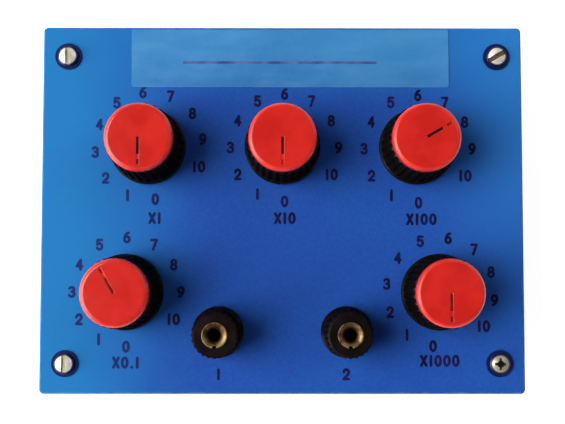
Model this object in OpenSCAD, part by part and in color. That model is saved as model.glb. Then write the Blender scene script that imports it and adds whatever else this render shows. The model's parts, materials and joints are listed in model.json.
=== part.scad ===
// Five-decade resistance box, lying with its front panel up.
// Millimetres. The origin is on the table under the middle of the case, +X to the right of the panel and
// +Y towards its upper edge. Dial angles are counted clockwise from +Y, seen from above.

/* [Panel] */
// Width of the front panel, left to right
panel_w = 160; // [156:1:190]
// Depth of the front panel, lower edge to upper edge
panel_d = 122; // [121:1:150]
// Thickness of the front panel
panel_t = 3; // [2:0.5:5]
// Radius of the panel's corners
panel_corner_r = 1.5; // [1:0.5:4]
// Bevel round the panel's upper edge
panel_bevel = 0.5; // [0.2:0.1:0.8]
// Corner screws, from the side edges of the panel
screw_inset_x = 8.5; // [8:0.5:9.5]
// Corner screws, from the upper and lower edges of the panel
screw_inset_y = 10; // [9:0.5:10.5]
// Length of the film strip along the upper edge
strip_w = 106; // [80:1:120]
// Depth of the film strip
strip_d = 19.5; // [12:0.5:20]
// Thickness of the film strip
strip_t = 0.2; // [0.1:0.1:0.5]
// Sideways shift of the film strip
strip_shift = 2.6; // [-5:0.2:5]

/* [Case] */
// Height of the case, without its feet
case_h = 52; // [44:1:70]
// Wall of the case at its rim
case_wall = 4; // [3:0.25:4.25]
// Floor of the case
case_floor = 3; // [2:0.5:5]
// Radius of the case's corners
case_corner_r = 5; // [3:0.5:7]
// Round along the case's lower edge
case_edge_r = 2.5; // [1:0.5:4]
// How far the walls lean in from rim to floor
case_draft = 1.4; // [0.4:0.2:2]
// How far the panel overhangs the rim of the case
panel_overhang = 0.5; // [0:0.1:1]
// Radius of the corner pillars
pillar_r = 6.5; // [6:0.25:7.5]
// Height of a rubber foot
foot_h = 4; // [3:0.5:8]
// Radius of a rubber foot at its top
foot_r = 6.5; // [4:0.5:9]
// How deep a foot sits in the case
foot_seat = 1; // [0.5:0.25:2]
// Feet, in from the edges of the panel
foot_inset = 18; // [16:1:30]

/* [Dials] */
// Distance between the dials of the upper row
dial_pitch = 44.5; // [43.5:0.5:46]
// Upper row of dials, from the middle of the panel
upper_row_y = 20.5; // [18:0.5:24]
// Lower row of dials, from the middle of the panel
lower_row_y = -27.5; // [-30:0.5:-24]
// Lower dials, in from the side edges of the panel
lower_dial_inset = 28.5; // [27.5:0.5:31]
// Setting of the tenths dial
setting_x0_1 = 5; // [0:1:10]
// Setting of the units dial
setting_x1 = 0; // [0:1:10]
// Setting of the tens dial
setting_x10 = 0; // [0:1:10]
// Setting of the hundreds dial
setting_x100 = 8; // [0:1:10]
// Setting of the thousands dial
setting_x1000 = 0; // [0:1:10]

/* [Knobs] */
// Radius of a knob's skirt
knob_skirt_r = 12.5; // [11.8:0.1:14]
// Height of a knob's skirt
knob_skirt_h = 2.2; // [1.4:0.2:4]
// Radius of the fluted body at the skirt
knob_foot_r = 12; // [11.6:0.1:12.4]
// Radius of the fluted body at the top
knob_head_r = 11.1; // [10.8:0.1:11.5]
// Height of the black body
knob_h = 19.4; // [17:0.2:24]
// Number of flutes round a knob
flute_count = 30; // [18:1:36]
// Depth of a flute
flute_depth = 0.5; // [0.3:0.05:0.7]
// Radius of the red cap
cap_r = 10.65; // [10.2:0.05:10.8]
// Height of the red cap above the black body
cap_h = 3; // [2:0.2:5]
// Radius of the red cap's upper edge
cap_round = 1.4; // [0.8:0.1:1.8]
// Width of the pointer groove
pointer_w = 0.8; // [0.6:0.1:1.6]
// Depth of the pointer groove
pointer_depth = 0.5; // [0.2:0.1:1]

/* [Switches] */
// Radius of a spindle
spindle_r = 3; // [2.5:0.1:3.2]
// Radius of the threaded bush
bush_r = 4.75; // [4.5:0.05:5]
// How far the bush stands above its nut
bush_above_nut = 2.2; // [1.6:0.2:2.6]
// Width of a bush nut across its flats
bush_nut_af = 13; // [12:0.5:14]
// Height of a bush nut
bush_nut_h = 2.4; // [2:0.2:3]
// Radius of a bush washer
bush_washer_r = 7.8; // [7:0.1:8.2]
// Thickness of a bush washer
bush_washer_t = 0.8; // [0.5:0.1:1]
// Radius of an index plate
plate_r = 13; // [12.8:0.1:13.6]
// Thickness of an index plate
plate_t = 1.5; // [1:0.25:2]
// Radius of a star wheel
star_r = 8.4; // [8.1:0.05:8.5]
// Thickness of a star wheel
star_t = 3.5; // [3.3:0.1:4.5]
// Distance from panel to wafer
wafer_depth = 14; // [12:0.5:18]
// Radius of a wafer
wafer_r = 16.5; // [16:0.1:16.6]
// Thickness of a wafer
wafer_t = 1.6; // [1.2:0.2:2.4]
// Radius of the hole in a wafer
wafer_hole_r = 7.9; // [7.6:0.05:7.95]
// Outer radius of the solder tags
tag_r = 19.6; // [19.2:0.1:20]
// Width of a contact strip
contact_w = 2; // [1.6:0.1:2.2]
// Thickness of a contact strip
contact_t = 0.4; // [0.3:0.1:0.6]
// Tie rods, from the spindle
tie_circle_r = 13.6; // [13.5:0.05:13.8]
// Radius of a tie rod
tie_rod_r = 1.25; // [1:0.05:1.4]
// Radius of a spacer
spacer_r = 2.2; // [2:0.05:2.3]
// Radius of a resistor
resistor_r = 1.2; // [0.9:0.05:1.25]
// Length of a resistor's body
resistor_l = 6.2; // [5:0.1:6.6]

/* [Terminals] */
// Terminals, from the middle line of the panel
post_x = 21; // [17:0.5:22]
// Terminals, from the middle of the panel
post_y = -40.5; // [-43:0.5:-38]
// Radius of the insulating collar
collar_r = 8.3; // [7.8:0.1:9]
// Height of the insulating collar
collar_h = 5; // [4:0.25:6]
// Radius of the brass barrel
barrel_r = 4; // [3.7:0.1:4.3]
// Radius of the socket for a 4 mm plug
socket_r = 2; // [2:0.05:2.2]
// Depth of the socket below its mouth
socket_depth = 16; // [12:0.5:18]
// Top of the brass barrel above the panel
post_h = 20; // [19:0.5:24]
// Radius of the clamping head at its lower edge
head_r = 7.75; // [7:0.05:8.2]
// Radius of the clamping head at its top
head_top_r = 7.3; // [6.8:0.05:7.6]
// Height of the clamping head
head_h = 12.3; // [10:0.1:12.4]
// Number of flutes round the clamping head
head_flutes = 24; // [16:1:28]
// Radius of the terminal's rear stud
stud_r = 3; // [2.5:0.1:3.2]
// Width of a stud nut across its flats
stud_nut_af = 10; // [9:0.5:12]
// Height of a stud nut
stud_nut_h = 3; // [2:0.25:4]

/* [Fasteners] */
// Radius of a panel screw's head
screw_head_r = 3.4; // [3:0.1:4]
// Height of a panel screw's head
screw_head_h = 1.8; // [1.6:0.1:2.6]
// Radius of a panel screw's shank
screw_r = 2; // [1.5:0.1:2.2]
// Length of a panel screw under its head
screw_l = 14; // [11:0.5:16]
// Radius of a panel washer
screw_washer_r = 4.4; // [4.2:0.1:5]
// Thickness of a panel washer
screw_washer_t = 0.5; // [0.4:0.1:1.2]
// Radius of a brass insert
insert_r = 3.2; // [3:0.1:4]
// Length of a brass insert
insert_l = 9; // [6:0.5:12]

/* [Wiring] */
// Radius of a wire with its insulation
wire_r = 0.7; // [0.5:0.05:0.8]
// How far the wires sag behind the wafers
wire_sag = 12; // [8:0.5:15]

/* [Hidden] */
$fn = 64;
// Clearance of a fixed fit, and of a part that turns on another
fit = 0.05;
// Overshoot of a cut
cut = 1;
// Numbered steps are this far apart, and zero stands at the foot of the dial
step_angle = 30;
zero_angle = 180;
step_count = 11;
position_count = 12;

// Heights
case_z = foot_h - foot_seat;
panel_rear = case_z + case_h;
panel_top = panel_rear + panel_t;
knob_z = 1;
cap_seat = knob_z + knob_h;
bush_top = bush_washer_t + bush_nut_h + bush_above_nut;
hub_gap = 0.3;
plate_z = -plate_t;
star_gap = 0.5;
star_z = plate_z - star_gap - star_t;
wafer_z = -wafer_depth - wafer_t;
contact_z = -wafer_depth;
wiper_gap = 0.15;
wiper_t = 0.4;
wiper_z = contact_z + contact_t + wiper_gap;
spindle_tail = 1.6;

// Places
screw_x = panel_w / 2 - screw_inset_x;
screw_y = panel_d / 2 - screw_inset_y;
lower_dial_x = panel_w / 2 - lower_dial_inset;
DIALS = ["x0_1", "x1", "x10", "x100", "x1000"];
dial_places = [
    [-lower_dial_x, lower_row_y],
    [-dial_pitch, upper_row_y],
    [0, upper_row_y],
    [dial_pitch, upper_row_y],
    [lower_dial_x, lower_row_y]
];
settings = [setting_x0_1, setting_x1, setting_x10, setting_x100, setting_x1000];
SIDES = ["left", "right"];
post_places = [[-post_x, post_y], [post_x, post_y]];

// Case details
layer_t = 0.01;
inside_corner = 1;
pillar_root = 0.5;
hole_spare = 2;

// Knob details
knob_edge = 0.4;
flute_r = 0.9;
knob_bore_top = cap_seat - 3.4;
knob_recess_r = bush_nut_af / sqrt(3) + 1.2;
cap_spigot_r = min(cap_r, knob_head_r) - 1.2;
cap_spigot_h = 1.6;
pointer_end_gap = cap_round + 0.4;
cap_edge_step = 15;
grub_r = 2;
grub_z = knob_bore_top - 5.5;
grub_l = 6;
spindle_flat = 0.7;
flat_l = 9;

// Switch details
notch_r = 1.3;
notch_circle = star_r + 0.5;
nose_r = notch_r - 0.3;
arm_gap = 0.5;
arm_r = tie_circle_r - spacer_r - arm_gap;
arm_w = 3.6;
arm_t = 1.1;
stop_in_r = star_r + 0.4;
stop_out_r = arm_r + 0.3;
stop_w = 5.2;
stop_l = star_gap + arm_t + 0.2;
spring_angle = 315;
spring_t = 0.4;
spring_in = star_r + 1.2;
spring_edge = 0.56;
spring_half = sqrt(pow(plate_r - spring_edge, 2) - pow(spring_in + spring_t, 2));
spring_w = star_t - arm_t - 0.5;
tab_t = 0.6;
tie_angles = [45, 225];
tie_ear_r = 3.4;
tie_wall = 1.2;
tie_head_r = 2.2;
tie_head_h = 1.8;
tie_slot_w = 0.6;
rotor_gap = 0.3;
rotor_r = wafer_hole_r - rotor_gap;
rotor_flat = 2;
contact_in_r = wafer_hole_r + 1.5;
common_in_r = wafer_hole_r + 0.2;
wiper_ring_r = wafer_hole_r + 0.7;
wiper_in_r = spindle_r + 0.4;
wiper_tip_r = arm_r - 0.1;
tag_hole_r = 0.5;
tag_hole_ring_r = tag_r - contact_w / 2;
resistor_gap = 0.1;
tie_reach = tie_circle_r + max(tie_rod_r + tie_wall, spacer_r);
resistor_seat_r = max(wafer_r, tie_reach) + resistor_gap + resistor_r;
lead_r = 0.3;
lead_short = 0.7;

// Terminal details
collar_spigot_r = barrel_r + 0.8;
spigot_play = 0.1;
flange_r = barrel_r + 1;
flange_t = 1;
rear_bush_t = 2.5;
tag_t = 0.6;
tag_ring_r = stud_r + 2.2;
tag_tail = 11;
tag_w = 3.2;
stud_tail = 1.5;
mouth_r = barrel_r - 0.4;
mouth_depth = 0.65;
key_w = 1.2;
key_depth = 0.7;
clamp_r = head_r - 1.2;
clamp_t = 1;
clamp_gap = 0.1;
clamp_z = collar_h + flange_t + fit;
head_z = clamp_z + clamp_t + clamp_gap;
head_bevel = 0.8;
head_play = 0.1;
head_flute_r = 0.7;
head_flute_depth = 0.35;
stud_end = rear_bush_t + tag_t + 2 * stud_nut_h + stud_tail;

// Screw details
screw_rim_h = 0.6;
slot_w = 1.6;
slot_depth = 1.1;
slot_angles = [[90, 88], [30, 0]];
recess_r = 1.9;
recess_w = 0.9;
recess_core_r = 1.15;
recess_depth = 1.3;
screw_play = 0.3;
strip_edge_gap = 0.8;

// Wire details
wire_sides = 8;
wire_rings = 18;
wire_tag_r = tag_r - 0.6;
row_bow = 4;
end_bow = 6;

// Shared functions and shapes

// The turn about +Z that brings +X to a dial angle
function turn(angle) = 90 - angle;
function dial_angle(step) = zero_angle + step_angle * step;
function on_ring(radius, angle) = [radius * cos(turn(angle)), radius * sin(turn(angle))];

module on_panel(place) {
    translate([place.x, place.y, panel_top]) children();
}

module behind_panel(place) {
    translate([place.x, place.y, panel_rear]) children();
}

module at_corners(x, y) {
    for (sx = [-1, 1], sy = [-1, 1]) translate([sx * x, sy * y, 0]) children();
}

// Children are drawn with the pointer along +X and turned to the dial's setting
module at_setting(dial) {
    rotate([0, 0, turn(dial_angle(settings[dial]))]) children();
}

module rod(r, z0, z1) {
    translate([0, 0, z0]) cylinder(r = r, h = z1 - z0);
}

module tube(r_out, r_in, z0, z1) {
    difference() {
        rod(r_out, z0, z1);
        rod(r_in, z0 - cut, z1 + cut);
    }
}

module hexagon(af, z0, z1) {
    translate([0, 0, z0]) cylinder(r = af / sqrt(3), h = z1 - z0, $fn = 6);
}

module rounded_outline(w, d, r) {
    square([w - 2 * r, d], center = true);
    square([w, d - 2 * r], center = true);
    for (sx = [-1, 1], sy = [-1, 1]) translate([sx * (w / 2 - r), sy * (d / 2 - r)]) circle(r);
}

// A plate with round corners and a bevel round its upper face
module bevelled_plate(w, d, t, r, bevel) {
    module slab(length, width) {
        half = width / 2;
        rotate([90, 0, 90]) linear_extrude(length, center = true)
            polygon([
                [-half, 0], [half, 0], [half, t - bevel],
                [half - bevel, t], [bevel - half, t], [-half, t - bevel]
            ]);
    }
    slab(w - 2 * r, d);
    rotate([0, 0, 90]) slab(d - 2 * r, w);
    at_corners(w / 2 - r, d / 2 - r) {
        cylinder(r = r, h = t - bevel);
        translate([0, 0, t - bevel]) cylinder(r1 = r, r2 = r - bevel, h = bevel);
    }
}

// Grooves round a body that tapers from r0 at z0 to r1 at z1
module flutes(count, r0, r1, z0, z1, groove_r, depth) {
    lean = atan((r0 - r1) / (z1 - z0));
    for (k = [0:count - 1])
        rotate([0, 0, 360 * (k + 0.5) / count])
            translate([r0 + groove_r - depth, 0, z0])
                rotate([0, -lean, 0]) cylinder(r = groove_r, h = 2 * (z1 - z0));
}

// Case

module case_layer(z, inset) {
    edge = panel_overhang + inset;
    translate([0, 0, z]) linear_extrude(layer_t)
        rounded_outline(panel_w - 2 * edge, panel_d - 2 * edge, case_corner_r, $fn = 32);
}

module case_outside() {
    hull() {
        case_layer(case_h - layer_t, 0);
        for (a = [0:22.5:90])
            case_layer(case_edge_r * (1 - sin(a)), case_draft + case_edge_r * (1 - cos(a)));
    }
}

module case_inside() {
    edge = panel_overhang + case_wall;
    translate([0, 0, case_floor]) linear_extrude(case_h)
        rounded_outline(panel_w - 2 * edge, panel_d - 2 * edge, case_corner_r - inside_corner);
}

module case() {
    color("#1c1c1e") translate([0, 0, case_z]) difference() {
        union() {
            difference() {
                case_outside();
                case_inside();
            }
            at_corners(screw_x, screw_y) rod(pillar_r, case_floor - pillar_root, case_h);
        }
        at_corners(screw_x, screw_y) {
            rod(insert_r + fit, case_h - insert_l, case_h + cut);
            rod(screw_r + screw_play, case_h - screw_l - hole_spare, case_h);
        }
        at_corners(panel_w / 2 - foot_inset, panel_d / 2 - foot_inset) rod(foot_r + fit, -cut, foot_seat);
    }
}

module case_inserts() {
    color("goldenrod") at_corners(screw_x, screw_y)
        tube(insert_r, screw_r + fit, panel_rear - insert_l, panel_rear);
}

module rubber_feet() {
    taper = 0.8;
    dimple_r = 2;
    dimple_depth = 1.2;
    color("#26262a") at_corners(panel_w / 2 - foot_inset, panel_d / 2 - foot_inset) difference() {
        union() {
            cylinder(r1 = foot_r - taper, r2 = foot_r, h = foot_h - foot_seat);
            rod(foot_r, foot_h - foot_seat, foot_h);
        }
        rod(dimple_r, -cut, dimple_depth);
    }
}

// Panel

module front_panel() {
    color("royalblue") difference() {
        translate([0, 0, panel_rear])
            bevelled_plate(panel_w, panel_d, panel_t, panel_corner_r, panel_bevel);
        for (place = dial_places)
            behind_panel(place) rod(bush_r + fit, -cut, panel_t + cut);
        for (place = post_places)
            behind_panel(place) rod(collar_spigot_r + spigot_play, -cut, panel_t + cut);
        at_corners(screw_x, screw_y) rod(screw_r + screw_play, panel_rear - cut, panel_top + cut);
    }
}

module title_strip() {
    color("lightsteelblue")
        translate([strip_shift, (panel_d - strip_d) / 2 - strip_edge_gap, panel_top])
            linear_extrude(strip_t) rounded_outline(strip_w, strip_d, strip_edge_gap);
}

// A round head: a rim with a shallow dome on it
module round_head(r, z0, z1) {
    dome_h = z1 - z0 - screw_rim_h;
    dome_r = (r * r + dome_h * dome_h) / (2 * dome_h);
    intersection() {
        rod(r, z0, z1);
        translate([0, 0, z1 - dome_r]) sphere(dome_r);
    }
}

module panel_screws() {
    head_z = panel_top + screw_washer_t;
    head_top = head_z + screw_head_h;
    color("silver") for (i = [0, 1], j = [0, 1])
        translate([(2 * i - 1) * screw_x, (2 * j - 1) * screw_y, 0]) difference() {
            union() {
                round_head(screw_head_r, head_z, head_top);
                rod(screw_r, panel_top - screw_l, head_z);
            }
            if (i == 1 && j == 0) {
                rod(recess_core_r, head_top - recess_depth, head_top + cut);
                for (a = [0, 90]) rotate([0, 0, a])
                    translate([-recess_r, -recess_w / 2, head_top - recess_depth])
                        cube([2 * recess_r, recess_w, recess_depth + cut]);
            } else {
                rotate([0, 0, slot_angles[i][1 - j]])
                    translate([-screw_head_r - cut, -slot_w / 2, head_top - slot_depth])
                        cube([2 * (screw_head_r + cut), slot_w, slot_depth + cut]);
            }
        }
}

module panel_washers() {
    color("#202024") at_corners(screw_x, screw_y)
        tube(screw_washer_r, screw_r + screw_play, panel_top, panel_top + screw_washer_t);
}

// Knobs

module knob_shell() {
    top = cap_seat;
    skirt_top = knob_z + knob_skirt_h;
    flute_start = skirt_top + knob_edge;
    difference() {
        rotate_extrude() polygon([
            [0, knob_z], [knob_skirt_r - knob_edge, knob_z], [knob_skirt_r, knob_z + knob_edge],
            [knob_skirt_r, skirt_top - knob_edge], [knob_skirt_r - knob_edge, skirt_top],
            [knob_foot_r, skirt_top],
            [knob_head_r, top - knob_edge], [knob_head_r - knob_edge, top], [0, top]
        ]);
        flutes(flute_count, knob_foot_r, knob_head_r, flute_start, top, flute_r, flute_depth);
    }
}

module knob(dial) {
    color("#1a1a1c") on_panel(dial_places[dial]) at_setting(dial) difference() {
        knob_shell();
        rod(knob_recess_r, knob_z - cut, bush_top + hub_gap);
        rod(spindle_r + fit, knob_z, knob_bore_top);
        rod(cap_spigot_r + fit, cap_seat - cap_spigot_h - fit, cap_seat + cut);
        translate([0, 0, grub_z]) rotate([-90, 0, 0]) rod(grub_r + fit, 0, knob_skirt_r + cut);
    }
}

module cap(dial) {
    top = cap_seat + cap_h;
    edge = [for (a = [0:cap_edge_step:90])
        [cap_r - cap_round * (1 - cos(a)), top - cap_round * (1 - sin(a))]];
    color("crimson") on_panel(dial_places[dial]) at_setting(dial) difference() {
        rotate_extrude() polygon(concat(
            [[0, cap_seat - cap_spigot_h], [cap_spigot_r, cap_seat - cap_spigot_h], [cap_spigot_r, cap_seat]],
            [[cap_r, cap_seat]], edge, [[0, top]]
        ));
        translate([0, -pointer_w / 2, top - pointer_depth])
            cube([cap_r - pointer_end_gap, pointer_w, pointer_depth + cut]);
    }
}

module grub_screw(dial) {
    seat = spindle_r - spindle_flat + fit;
    socket_af = 2;
    color("dimgray") on_panel(dial_places[dial]) at_setting(dial)
        translate([0, 0, grub_z]) rotate([-90, 0, 0]) difference() {
            rod(grub_r, seat, seat + grub_l);
            hexagon(socket_af, seat + grub_l / 2, seat + grub_l + cut);
        }
}

// Switches

module spindle(dial) {
    top = knob_bore_top - fit;
    rear = -panel_t;
    flat_from = spindle_r - spindle_flat;
    color("silver") on_panel(dial_places[dial]) at_setting(dial) difference() {
        union() {
            rod(spindle_r, rear + wafer_z - spindle_tail, top);
            translate([0, 0, rear + star_z]) linear_extrude(star_t) difference() {
                circle(star_r);
                for (k = [0:position_count - 1])
                    rotate(step_angle * (k + 0.5)) translate([notch_circle, 0]) circle(notch_r);
            }
            translate([0, -arm_w / 2, rear + star_z + star_t - arm_t]) cube([arm_r, arm_w, arm_t]);
        }
        translate([-spindle_r, flat_from, top - flat_l]) cube([2 * spindle_r, spindle_r, flat_l + cut]);
        for (side = [0, 1]) mirror([0, side, 0])
            translate([-spindle_r, rotor_flat, rear + wafer_z - spindle_tail - cut])
                cube([2 * spindle_r, spindle_r, spindle_tail + wafer_t + contact_t + wiper_gap + cut]);
    }
}

module index_plates() {
    color("lightgray") for (place = dial_places) behind_panel(place) difference() {
        union() {
            rod(plate_r, plate_z, 0);
            rod(bush_r, plate_z, panel_t + bush_top);
            for (angle = tie_angles) rotate([0, 0, angle])
                translate([tie_circle_r, 0, 0]) rod(tie_ear_r, plate_z, 0);
            rotate([0, 0, turn(dial_angle(step_count))])
                translate([stop_in_r, -stop_w / 2, plate_z - stop_l])
                    cube([stop_out_r - stop_in_r, stop_w, stop_l + plate_t]);
        }
        rod(spindle_r + fit, plate_z - cut, panel_t + bush_top + cut);
        for (angle = tie_angles) rotate([0, 0, angle])
            translate([tie_circle_r, 0, 0]) rod(tie_rod_r + fit, plate_z - cut, cut);
    }
}

module detent_springs() {
    color("wheat") for (place = dial_places) behind_panel(place) rotate([0, 0, turn(spring_angle)]) {
        translate([0, 0, star_z]) linear_extrude(spring_w) {
            translate([spring_in, -spring_half]) square([spring_t, 2 * spring_half]);
            intersection() {
                translate([notch_circle + 0.1, 0]) circle(nose_r);
                translate([0, -nose_r]) square([spring_in + spring_t / 2, 2 * nose_r]);
            }
        }
        for (side = [0, 1]) mirror([0, side, 0])
            translate([spring_in, spring_half - tab_t, star_z]) cube([spring_t, tab_t, plate_z - star_z]);
    }
}

module switch_washers() {
    color("silver") for (place = dial_places)
        on_panel(place) tube(bush_washer_r, bush_r + fit, 0, bush_washer_t);
}

module switch_nuts() {
    color("silver") for (place = dial_places) on_panel(place) difference() {
        hexagon(bush_nut_af, bush_washer_t, bush_washer_t + bush_nut_h);
        rod(bush_r + fit, 0, bush_washer_t + bush_nut_h + cut);
    }
}

module wafers() {
    color("saddlebrown") for (place = dial_places) behind_panel(place) difference() {
        union() {
            rod(wafer_r, wafer_z, wafer_z + wafer_t);
            for (angle = tie_angles) rotate([0, 0, angle])
                translate([tie_circle_r, 0, 0]) rod(tie_rod_r + tie_wall, wafer_z, wafer_z + wafer_t);
        }
        rod(wafer_hole_r, wafer_z - cut, wafer_z + wafer_t + cut);
        for (angle = tie_angles) rotate([0, 0, angle])
            translate([tie_circle_r, 0, 0]) rod(tie_rod_r + fit, wafer_z - cut, wafer_z + wafer_t + cut);
    }
}

module contact_strip(inner_r) {
    translate([0, 0, contact_z]) linear_extrude(contact_t) difference() {
        union() {
            translate([inner_r, -contact_w / 2]) square([tag_hole_ring_r - inner_r, contact_w]);
            translate([tag_hole_ring_r, 0]) circle(contact_w / 2);
        }
        translate([tag_hole_ring_r, 0]) circle(tag_hole_r);
    }
}

module wafer_contacts() {
    color("gold") for (place = dial_places) behind_panel(place) for (step = [0:position_count - 1])
        rotate([0, 0, turn(dial_angle(step))])
            contact_strip(step < step_count ? contact_in_r : common_in_r);
}

module tie_rods() {
    head = wafer_z - tie_head_h;
    color("silver") for (place = dial_places, angle = tie_angles) behind_panel(place) rotate([0, 0, angle])
        translate([tie_circle_r, 0, 0]) difference() {
            union() {
                rod(tie_rod_r, wafer_z, -fit);
                rod(tie_head_r, head, wafer_z);
            }
            translate([-tie_head_r - cut, -tie_slot_w / 2, head - cut])
                cube([2 * (tie_head_r + cut), tie_slot_w, cut + tie_head_h / 2]);
        }
}

module wafer_spacers() {
    color("silver") for (place = dial_places, angle = tie_angles) behind_panel(place) rotate([0, 0, angle])
        translate([tie_circle_r, 0, 0]) tube(spacer_r, tie_rod_r + fit, wafer_z + wafer_t, plate_z);
}

module flatted_disc(r, z0, z1) {
    difference() {
        rod(r, z0, z1);
        intersection() {
            rod(spindle_r + fit, z0 - cut, z1 + cut);
            translate([-spindle_r - cut, -rotor_flat - fit, z0 - cut])
                cube([2 * (spindle_r + cut), 2 * (rotor_flat + fit), z1 - z0 + 2 * cut]);
        }
    }
}

module rotor(dial) {
    color("saddlebrown") behind_panel(dial_places[dial]) at_setting(dial)
        flatted_disc(rotor_r, wafer_z, wiper_z);
}

module wiper(dial) {
    tongue_w = contact_w - 0.4;
    color("gold") behind_panel(dial_places[dial]) at_setting(dial) translate([0, 0, wiper_z])
        linear_extrude(wiper_t) difference() {
            union() {
                circle(wiper_ring_r);
                translate([0, -tongue_w / 2]) square([wiper_tip_r - tongue_w / 2, tongue_w]);
                translate([wiper_tip_r - tongue_w / 2, 0]) circle(tongue_w / 2);
            }
            circle(wiper_in_r);
        }
}

// One resistor outside the wafer's edge, with a straight lead from each end to the tag beside it
module resistor() {
    end_cap = 1.2;
    edge = 0.3;
    waist_r = resistor_r - 0.15;
    tag = tag_hole_ring_r * [cos(step_angle / 2), sin(step_angle / 2)];
    from = [resistor_seat_r, resistor_l / 2 - edge];
    span = tag - from;
    translate([resistor_seat_r, resistor_l / 2, 0]) rotate([90, 0, 0]) rotate_extrude() polygon([
        [0, 0], [resistor_r - edge, 0], [resistor_r, edge], [resistor_r, end_cap],
        [waist_r, end_cap + edge], [waist_r, resistor_l - end_cap - edge], [resistor_r, resistor_l - end_cap],
        [resistor_r, resistor_l - edge], [resistor_r - edge, resistor_l], [0, resistor_l]
    ]);
    for (side = [0, 1]) mirror([0, side, 0])
        translate([from.x, from.y, 0]) rotate([0, 0, atan2(span.y, span.x)]) rotate([0, 90, 0])
            rod(lead_r, 0, norm(span) - lead_short);
}

module resistors(dial) {
    color("tan") behind_panel(dial_places[dial]) for (step = [0:step_count - 2])
        rotate([0, 0, turn(dial_angle(step + 0.5))])
            translate([0, 0, contact_z + contact_t + lead_r]) resistor();
}

// Terminals

module post_stems() {
    top = post_h;
    mouth_z = top - mouth_depth;
    color("gold") for (place = post_places) on_panel(place) difference() {
        union() {
            rod(stud_r, -panel_t - stud_end, collar_h);
            rod(flange_r, collar_h, collar_h + flange_t);
            rod(barrel_r, collar_h + flange_t, top);
        }
        rotate_extrude() polygon([
            [0, mouth_z - socket_depth], [socket_r, mouth_z - socket_depth], [socket_r, mouth_z],
            [mouth_r, top], [mouth_r, top + cut], [0, top + cut]
        ]);
        translate([-key_w / 2, -barrel_r - cut, collar_h + flange_t])
            cube([key_w, key_depth + cut, top]);
    }
}

module post_collars() {
    bevel = 0.8;
    color("#1a1a1c") for (place = post_places) on_panel(place) difference() {
        union() {
            rod(collar_r, 0, collar_h - bevel);
            translate([0, 0, collar_h - bevel]) cylinder(r1 = collar_r, r2 = collar_r - bevel, h = bevel);
            rod(collar_spigot_r, -panel_t, 0);
        }
        rod(stud_r + fit, -panel_t - cut, collar_h + cut);
    }
}

module post_rear_bushes() {
    color("#1a1a1c") for (place = post_places)
        behind_panel(place) tube(collar_r, stud_r + fit, -rear_bush_t, 0);
}

module post_tags() {
    color("gold") for (place = post_places) behind_panel(place) translate([0, 0, -rear_bush_t - tag_t])
        linear_extrude(tag_t) difference() {
            union() {
                circle(tag_ring_r);
                translate([-tag_w / 2, 0]) square([tag_w, tag_tail - tag_w / 2]);
                translate([0, tag_tail - tag_w / 2]) circle(tag_w / 2);
            }
            circle(stud_r + fit);
            translate([0, tag_tail - tag_w / 2]) circle(tag_hole_r);
        }
}

module post_nuts() {
    first = -rear_bush_t - tag_t - stud_nut_h;
    second_turn = 20;
    color("gold") for (place = post_places, k = [0, 1])
        behind_panel(place) rotate([0, 0, second_turn * k]) difference() {
            hexagon(stud_nut_af, first - k * stud_nut_h, first - (k - 1) * stud_nut_h);
            rod(stud_r + fit, first - stud_nut_h - cut, first + stud_nut_h + cut);
        }
}

module post_washer(side) {
    tongue_w = key_w - 2 * head_play;
    tongue_y = barrel_r - key_depth + head_play;
    color("gold") on_panel(post_places[side]) translate([0, 0, clamp_z])
        linear_extrude(clamp_t) difference() {
            circle(clamp_r);
            difference() {
                circle(barrel_r + head_play);
                translate([-tongue_w / 2, -tongue_y - barrel_r]) square([tongue_w, barrel_r]);
            }
        }
}

module post_head(side) {
    top = head_z + head_h;
    flute_start = head_z + 2 * head_bevel;
    color("#1a1a1c") on_panel(post_places[side]) difference() {
        rotate_extrude() polygon([
            [0, head_z], [head_r - head_bevel / 2, head_z], [head_r, head_z + head_bevel / 2],
            [head_r, flute_start], [head_top_r, top - head_bevel], [head_top_r - head_bevel, top], [0, top]
        ]);
        rod(barrel_r + head_play, head_z - cut, top + cut);
        flutes(head_flutes, head_r, head_top_r, flute_start, top, head_flute_r, head_flute_depth);
    }
}

// Wiring

// A point on the curve that leaves both ends straight down and sags between them
function sag_point(from, to, bow, t) =
    let (c0 = from - [0, bow, wire_sag * 2], c1 = to - [0, bow, wire_sag * 2], u = 1 - t)
    u * u * u * from + 3 * u * u * t * c0 + 3 * u * t * t * c1 + t * t * t * to;

function unit(v) = v / norm(v);

module wire(from, to, bow) {
    points = [for (k = [0:wire_rings]) sag_point(from, to, bow, k / wire_rings)];
    along = [for (k = [0:wire_rings])
        k == 0 ? [0, 0, -1] : k == wire_rings ? [0, 0, 1] : unit(points[k + 1] - points[k - 1])];
    side = unit(cross(to - from, [0, 0, 1]));
    rings = [for (k = [0:wire_rings], s = [0:wire_sides - 1])
        let (a = 360 * s / wire_sides, across = unit(cross(along[k], side)))
        points[k] + wire_r * (cos(a) * side + sin(a) * across)];
    walls = [for (k = [0:wire_rings - 1], s = [0:wire_sides - 1])
        let (a = k * wire_sides + s, b = k * wire_sides + (s + 1) % wire_sides)
        [a, b, b + wire_sides, a + wire_sides]];
    first = [for (s = [0:wire_sides - 1]) wire_sides - 1 - s];
    last = [for (s = [0:wire_sides - 1]) wire_rings * wire_sides + s];
    polyhedron(rings, concat(walls, [first, last]));
}

// Where a wire meets the underside of a wafer tag, or of a terminal's tag
function wafer_tag(dial, step) =
    let (p = dial_places[dial] + on_ring(wire_tag_r, dial_angle(step)))
    [p.x, p.y, panel_rear + contact_z - fit];
function post_tag(side) =
    let (p = post_places[side])
    [p.x, p.y + tag_tail - tag_w / 2, panel_rear - rear_bush_t - tag_t - fit];

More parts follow.
